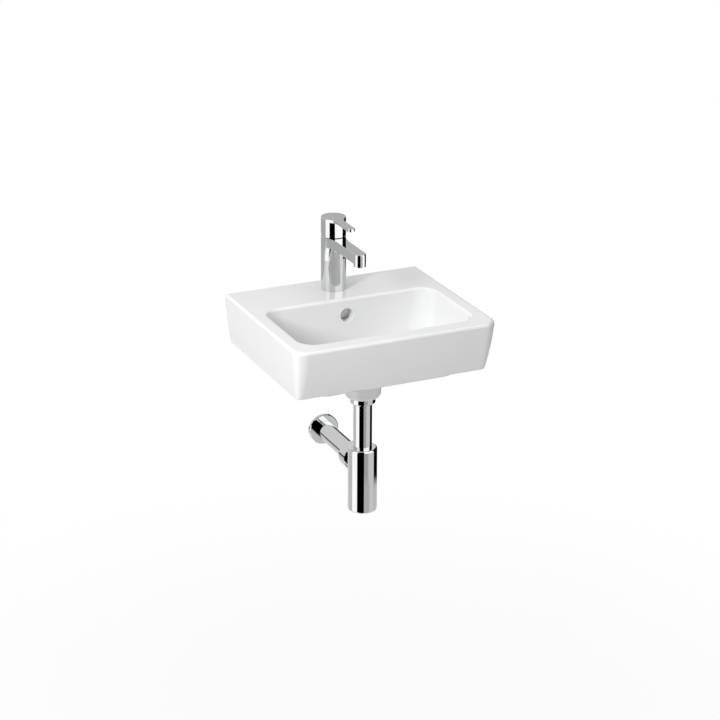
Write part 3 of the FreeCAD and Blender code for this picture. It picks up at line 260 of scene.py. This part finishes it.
finishes = {
    "ceramic": make_glaze(),
    "chrome": make_metal(
        "polished_chrome", tones=((0.75, 0.755, 0.76), (0.72, 0.725, 0.732)), tone_scale=40.0,
        roughness=(0.015, 0.035), rough_scale=60.0, marks_scale=220.0, stretch=0.4, relief=0.004,
    ),
    "rubber": make_moulded(
        "seal_rubber", tones=((0.035, 0.035, 0.036), (0.06, 0.06, 0.06)), tone_scale=120.0,
        roughness=(0.55, 0.75), rough_scale=200.0, grain_scale=1500.0, relief=0.25, depth=2 * FINE_DEPTH,
    ),
    "brass": make_metal(
        "turned_brass", tones=((0.66, 0.46, 0.2), (0.58, 0.4, 0.18)), tone_scale=90.0,
        roughness=(0.2, 0.34), rough_scale=300.0, marks_scale=500.0, stretch=0.2, relief=0.15,
    ),
    "steel": make_metal(
        "zinc_plated_steel", tones=((0.56, 0.57, 0.58), (0.46, 0.47, 0.49)), tone_scale=160.0,
        roughness=(0.28, 0.45), rough_scale=240.0, marks_scale=700.0, stretch=0.3, relief=0.2,
    ),
    "plastic": make_moulded(
        "moulded_plastic", tones=((0.72, 0.72, 0.7), (0.66, 0.66, 0.645)), tone_scale=60.0,
        roughness=(0.38, 0.5), rough_scale=180.0, grain_scale=900.0, relief=0.08,
    ),
    "disc": make_moulded(
        "lapped_disc", tones=((0.82, 0.8, 0.76), (0.78, 0.755, 0.71)), tone_scale=200.0,
        roughness=(0.12, 0.22), rough_scale=400.0, grain_scale=1200.0, relief=0.05,
    ),
    # Cover under the handle: a real part, but its near-black colour is painted shade, so the gap between
    # handle and body reads as a dark line.
    "shroud": make_moulded(
        "shroud_painted_gap_shade", tones=((0.018, 0.018, 0.019), (0.028, 0.028, 0.029)), tone_scale=150.0,
        roughness=(0.45, 0.6), rough_scale=260.0, grain_scale=1100.0, relief=0.1,
    ),
}

for entry in frame["record"]["subparts"]:
    mesh = nodes[entry["node"]].data
    mesh.materials.clear()
    mesh.materials.append(finishes[entry["material_slot"]])


# Small details that the solids leave plain

def add_piece(name, work, slot):
    """Turn a finished bmesh into a piece that takes a record finish."""
    bmesh.ops.recalc_face_normals(work, faces=work.faces)
    mesh = bpy.data.meshes.new(name)
    work.to_mesh(mesh)
    work.free()
    mesh.materials.append(finishes[slot])
    piece = bpy.data.objects.new(name, mesh)
    bpy.context.scene.collection.objects.link(piece)
    return piece


def sweep_helix(work, verts, edges, pitch, turns, turn_steps):
    """Carry a closed outline up a screw line, and close both ends."""
    made = bmesh.ops.spin(work, geom=verts + edges, cent=(0.0, 0.0, 0.0), axis=(0.0, 0.0, 1.0),
                          dvec=(0.0, 0.0, pitch / turn_steps), angle=2 * math.pi * turns,
                          steps=turn_steps * turns)
    last = [item for item in made["geom_last"] if isinstance(item, bmesh.types.BMVert)]
    bmesh.ops.contextual_create(work, geom=verts)
    bmesh.ops.contextual_create(work, geom=last)


def make_threaded_stud():
    """Tap stud with a rolled thread over its whole length and a chamfered lower end."""
    low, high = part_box("fixing_stud")
    radius = (high.x - low.x) / 2
    core = radius - STUD_THREAD_DEPTH
    length = high.z - low.z
    foot = Vector(((low.x + high.x) / 2, (low.y + high.y) / 2, low.z))
    section = [
        (core * THREAD_SINK, THREAD_FOOT),
        (core, THREAD_FOOT),
        (radius, THREAD_CREST),
        (radius, 1.0 - THREAD_CREST),
        (core, 1.0 - THREAD_FOOT),
        (core * THREAD_SINK, 1.0 - THREAD_FOOT),
    ]
    work = bmesh.new()
    points = [work.verts.new((out, 0.0, (1.0 + up) * STUD_PITCH)) for out, up in section]
    flank = work.faces.new(points)
    edges = flank.edges[:]
    bmesh.ops.delete(work, geom=[flank], context="FACES_ONLY")
    turns = int(length / STUD_PITCH) - 2
    sweep_helix(work, points, edges, STUD_PITCH, turns, STUD_STEPS)
    rod = bmesh.ops.create_cone(work, cap_ends=True, segments=STUD_STEPS, radius1=core, radius2=core,
                                depth=length, matrix=Matrix.Translation((0.0, 0.0, length / 2)))
    lower_rim = [edge for edge in {edge for vert in rod["verts"] for edge in vert.link_edges}
                 if all(vert.co.z < STUD_PITCH / 2 for vert in edge.verts)]
    bmesh.ops.bevel(work, geom=lower_rim, offset=STUD_THREAD_DEPTH, affect="EDGES", segments=1,
                    profile=0.5, material=-1)
    bmesh.ops.translate(work, verts=work.verts, vec=foot)
    stud = add_piece("threaded_stud", work, "steel")
    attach(stud, FIXED_BODY)
    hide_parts("fixing_stud")


def make_aerator_screen():
    """Fine crossed wires over the mouth of the aerator."""
    low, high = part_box("aerator_insert")
    middle = (low + high) / 2
    radius = (high.x - low.x) / 2
    count = int(radius / WIRE_SPACING)
    lie_down = Matrix.Rotation(math.pi / 2, 4, "Y")
    work = bmesh.new()
    for layer in (0, 1):
        level = low.z - WIRE_HALF * (1 + 2 * layer)
        centre = Matrix.Translation((middle.x, middle.y, level))
        turn = Matrix.Rotation(layer * math.pi / 2, 4, "Z")
        for row in range(-count, count + 1):
            across = row * WIRE_SPACING
            half = math.sqrt(radius * radius - across * across) - WIRE_HALF
            place = centre @ turn @ Matrix.Translation((0.0, across, 0.0)) @ lie_down
            bmesh.ops.create_cone(work, cap_ends=True, segments=WIRE_FACETS, radius1=WIRE_HALF,
                                  radius2=WIRE_HALF, depth=2 * half, matrix=place)
    screen = add_piece("aerator_screen", work, "steel")
    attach(screen, FIXED_BODY)


def make_plug_coil():
    """Spring under the plug, built at its rest length; nothing here shortens it as the plug is pushed down.
    """
    low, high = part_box("plug_spring")
    middle = (low + high) / 2
    coil_radius = (high.x - low.x) / 2 - COIL_WIRE
    pitch = (high.z - low.z - 2 * COIL_WIRE) / COIL_TURNS
    section = Matrix.Translation((coil_radius, 0.0, COIL_WIRE)) @ Matrix.Rotation(math.pi / 2, 4, "X")
    work = bmesh.new()
    ring = bmesh.ops.create_circle(work, segments=COIL_FACETS, radius=COIL_WIRE, matrix=section)["verts"]
    sweep_helix(work, ring, work.edges[:], pitch, COIL_TURNS, COIL_STEPS)
    bmesh.ops.translate(work, verts=work.verts, vec=(middle.x, middle.y, low.z))
    for face in work.faces:
        face.smooth = len(face.verts) == 4
    coil = add_piece("plug_coil", work, "steel")
    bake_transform(coil)
    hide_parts("plug_spring")


make_threaded_stud()
make_aerator_screen()
make_plug_coil()


# Studio

FLOOR_CENTRE = (0.0, -0.15, RIM - RIM_HEIGHT)
FLOOR_RADIUS = 1.3
FLOOR_FACETS = 96
# Share of plain white in the floor's look, near the object and at the edge.
FLOOR_WHITE_NEAR = 0.85
FLOOR_WHITE_FAR = 1.0
FLOOR_FADE_FROM = 0.25 * FLOOR_RADIUS
FLOOR_FADE_TO = 0.95 * FLOOR_RADIUS

# Lamps behind diffusers, with their power in watts.
SOFTBOXES = {
    "key_front_left": {
        "place": (-1.7, -1.2, 1.0), "target": (0.0, -0.15, 0.1),
        "width": 0.45, "height": 0.6, "power": 27.0,
    },
    "side_left": {
        "place": (-2.0, -0.05, 0.8), "target": (0.0, -0.15, 0.3),
        "width": 1.3, "height": 3.0, "power": 6.8,
    },
    "overhead": {
        "place": (0.1, -0.5, 2.2), "target": (0.0, -0.15, 0.0),
        "width": 2.4, "height": 2.0, "power": 17.6,
    },
}

# Light and dark cards round the object: bearing in degrees from +X, and brightness there.
# Each row reaches up to the next one, and its number is the upward part of its lowest direction.
FRONT_LOW = [(-180, 1.42), (-158.5, 1.42), (-155.5, 0.0), (-102.5, 0.0)]
FRONT_HIGH = [
    (-180, 1.42), (-152, 1.42), (-149, 0.0), (-101, 0.0), (-98, 1.85), (-25, 1.85), (-22, 0.0),
]
BACK_HIGH = [(166, 0.55), (174, 1.42)]
CARD_ROWS = [
    (-1.0, FRONT_LOW + [
        (-99.5, 0.62), (-64, 0.58), (-52, 0.8), (-24, 0.8), (-18, 0.7), (60, 0.7), (75, 0.85),
        (112, 0.85), (120, 0.72), (155, 0.72), (161, 1.42),
    ]),
    (-0.4155, FRONT_LOW + [
        (-99.5, 0.48), (-71, 0.5), (-65.5, 0.78), (-17, 0.8), (-13, 0.0), (57, 0.0), (61, 0.85),
        (108, 0.85), (116, 0.68), (155, 0.68), (161, 1.42),
    ]),
    (-0.34, FRONT_LOW + [
        (-99.5, 0.55), (-60, 0.58), (-56, 1.5), (-18, 1.5), (-13, 0.0), (57, 0.0), (61, 0.58),
        (155, 0.58), (161, 1.42),
    ]),
    (-0.3212, FRONT_HIGH + [(57, 0.0), (61, 0.58), (120, 0.55)] + BACK_HIGH),
    (-0.24, FRONT_HIGH + [
        (58, 0.0), (59.4, 0.85), (100, 0.85), (104, 0.03), (136, 0.03), (140, 0.85),
    ] + BACK_HIGH),
    (-0.125, FRONT_HIGH + [
        (58, 0.0), (59.4, 0.85), (62.5, 0.85), (63.5, 0.6), (70, 0.6), (76, 0.85), (140, 0.85), (152, 0.55),
    ] + BACK_HIGH),
    (0.36, FRONT_HIGH + [(58, 0.0), (59.4, 0.85), (140, 0.85), (152, 0.55)] + BACK_HIGH),
]
CARD_EDGE_BLUR = 0.002
CARD_LIGHT = 0.905
FILL_LIGHT = 0.45

# Camera: turned to the right, tilted down and rolled, in radians, and its place and lens.
CAMERA_TURN = 0.431535
CAMERA_DOWN = 0.374855
CAMERA_ROLL = 0.004434
CAMERA_PLACE = (-1.46828, -3.34392, RIM + 1.28914)
CAMERA_LENS = 112.602
CAMERA_SENSOR = 36.0
CAMERA_REACH = 50.0


def make_floor():
    """Pale round floor with a soft shadow, fading to plain white at its edge and seen only from above."""
    mesh = bpy.data.meshes.new("floor")
    work = bmesh.new()
    bmesh.ops.create_circle(work, cap_ends=True, segments=FLOOR_FACETS, radius=FLOOR_RADIUS,
                            matrix=Matrix.Translation(FLOOR_CENTRE))
    work.to_mesh(mesh)
    work.free()
    floor = bpy.data.objects.new("floor", mesh)
    floor.visible_glossy = False
    bpy.context.scene.collection.objects.link(floor)
    finish = Finish("pale_floor")
    finish.set(Base_Color=(0.9, 0.9, 0.9, 1.0), Roughness=0.9)
    place = finish.node("TexCoord")
    reach = finish.node("VectorMath", operation="DISTANCE")
    reach.inputs[1].default_value = FLOOR_CENTRE
    finish.link(place.outputs["Object"], reach.inputs[0])
    fade = finish.node("MapRange", interpolation_type="SMOOTHSTEP")
    fade.inputs["From Min"].default_value = FLOOR_FADE_FROM
    fade.inputs["From Max"].default_value = FLOOR_FADE_TO
    fade.inputs["To Min"].default_value = FLOOR_WHITE_NEAR
    fade.inputs["To Max"].default_value = FLOOR_WHITE_FAR
    finish.link(reach.outputs["Value"], fade.inputs["Value"])
    seen = finish.node("LightPath")
    white = finish.node("Emission")
    share = finish.node("Math", operation="MULTIPLY")
    blend = finish.node("MixShader")
    finish.link(seen.outputs["Is Camera Ray"], share.inputs[0])
    finish.link(fade.outputs["Result"], share.inputs[1])
    finish.link(share.outputs["Value"], blend.inputs["Fac"])
    finish.link(finish.shader.outputs["BSDF"], blend.inputs[1])
    finish.link(white.outputs["Emission"], blend.inputs[2])
    facing = finish.node("NewGeometry")
    clear = finish.node("BsdfTransparent")
    one_sided = finish.node("MixShader")
    finish.link(facing.outputs["Backfacing"], one_sided.inputs["Fac"])
    finish.link(blend.outputs["Shader"], one_sided.inputs[1])
    finish.link(clear.outputs["BSDF"], one_sided.inputs[2])
    finish.link(one_sided.outputs["Shader"], finish.tree.nodes["Material Output"].inputs["Surface"])
    mesh.materials.append(finish.material)


def make_softbox(name, place, target, width, height, power):
    """Lamp behind a diffuser. Its mirror image on metal and glaze comes from the cards of the world."""
    lamp = bpy.data.lights.new(name, "AREA")
    lamp.shape = "RECTANGLE"
    lamp.size = width
    lamp.size_y = height
    lamp.energy = power
    box = bpy.data.objects.new(name, lamp)
    box.location = place
    aim = Vector(target) - Vector(place)
    box.rotation_euler = aim.to_track_quat("-Z", "Y").to_euler()
    box.visible_glossy = False
    bpy.context.scene.collection.objects.link(box)


def make_world():
    """White for the camera, an even fill for the ceramic, and light and dark cards for the chrome."""
    world = bpy.data.worlds.new("studio")
    world.use_nodes = True
    bpy.context.scene.world = world
    tree = world.node_tree
    tree.nodes.clear()
    links = tree.links

    def node(kind, **settings):
        made = tree.nodes.new("ShaderNode" + kind)
        for key, value in settings.items():
            setattr(made, key, value)
        return made

    direction = node("TexCoord")
    split = node("SeparateXYZ")
    angle = node("Math", operation="ARCTAN2")
    turn = node("MapRange")
    turn.inputs["From Min"].default_value = -math.pi
    turn.inputs["From Max"].default_value = math.pi
    links.new(direction.outputs["Generated"], split.inputs["Vector"])
    links.new(split.outputs["Y"], angle.inputs[0])
    links.new(split.outputs["X"], angle.inputs[1])
    links.new(angle.outputs["Value"], turn.inputs["Value"])

    def card_row(cards):
        row = node("ValToRGB")
        stops = row.color_ramp.elements
        while len(stops) < len(cards):
            stops.new(0.5)
        for stop, (bearing, level) in zip(stops, cards):
            stop.position = (bearing + 180.0) / 360.0
            stop.color = (level, level, level, 1.0)
        links.new(turn.outputs["Result"], row.inputs["Fac"])
        return row.outputs["Color"]

    def stack(lower, upper, edge):
        step = node("MapRange")
        step.inputs["From Min"].default_value = edge - CARD_EDGE_BLUR
        step.inputs["From Max"].default_value = edge + CARD_EDGE_BLUR
        links.new(split.outputs["Z"], step.inputs["Value"])
        mix = node("Mix", data_type="RGBA")
        links.new(step.outputs["Result"], mix.inputs["Factor"])
        links.new(lower, mix.inputs["A"])
        links.new(upper, mix.inputs["B"])
        return mix.outputs["Result"]

    all_rows = card_row(CARD_ROWS[0][1])
    for edge, cards in CARD_ROWS[1:]:
        all_rows = stack(all_rows, card_row(cards), edge)
    seen = node("LightPath")
    fill = node("Background")
    fill.inputs["Strength"].default_value = FILL_LIGHT
    card_light = node("Background")
    card_light.inputs["Strength"].default_value = CARD_LIGHT
    links.new(all_rows, card_light.inputs["Color"])
    backdrop = node("Background")
    for shader in (fill, backdrop):
        shader.inputs["Color"].default_value = (1.0, 1.0, 1.0, 1.0)
    glossy = node("MixShader")
    camera = node("MixShader")
    output = node("OutputWorld")
    links.new(seen.outputs["Is Glossy Ray"], glossy.inputs["Fac"])
    links.new(fill.outputs["Background"], glossy.inputs[1])
    links.new(card_light.outputs["Background"], glossy.inputs[2])
    links.new(seen.outputs["Is Camera Ray"], camera.inputs["Fac"])
    links.new(glossy.outputs["Shader"], camera.inputs[1])
    links.new(backdrop.outputs["Background"], camera.inputs[2])
    links.new(camera.outputs["Shader"], output.inputs["Surface"])


def make_camera():
    """Long lens from the front left, looking down a little, as in the photograph."""
    right = Vector((math.cos(CAMERA_TURN), -math.sin(CAMERA_TURN), 0.0))
    ahead = Vector((
        math.sin(CAMERA_TURN) * math.cos(CAMERA_DOWN),
        math.cos(CAMERA_TURN) * math.cos(CAMERA_DOWN),
        -math.sin(CAMERA_DOWN),
    ))
    above = right.cross(ahead)
    right_rolled = math.cos(CAMERA_ROLL) * right + math.sin(CAMERA_ROLL) * above
    above_rolled = math.cos(CAMERA_ROLL) * above - math.sin(CAMERA_ROLL) * right
    turn = Matrix((right_rolled, above_rolled, -ahead)).transposed().to_4x4()
    lens = bpy.data.cameras.new("camera")
    lens.lens = CAMERA_LENS
    lens.sensor_width = CAMERA_SENSOR
    lens.clip_end = CAMERA_REACH
    camera = bpy.data.objects.new("camera", lens)
    camera.matrix_world = Matrix.Translation(CAMERA_PLACE) @ turn
    bpy.context.scene.collection.objects.link(camera)
    bpy.context.scene.camera = camera


make_floor()
make_world()
for softbox, settings in SOFTBOXES.items():
    make_softbox(softbox, **settings)
make_camera()
bpy.context.scene.view_settings.view_transform = "Standard"
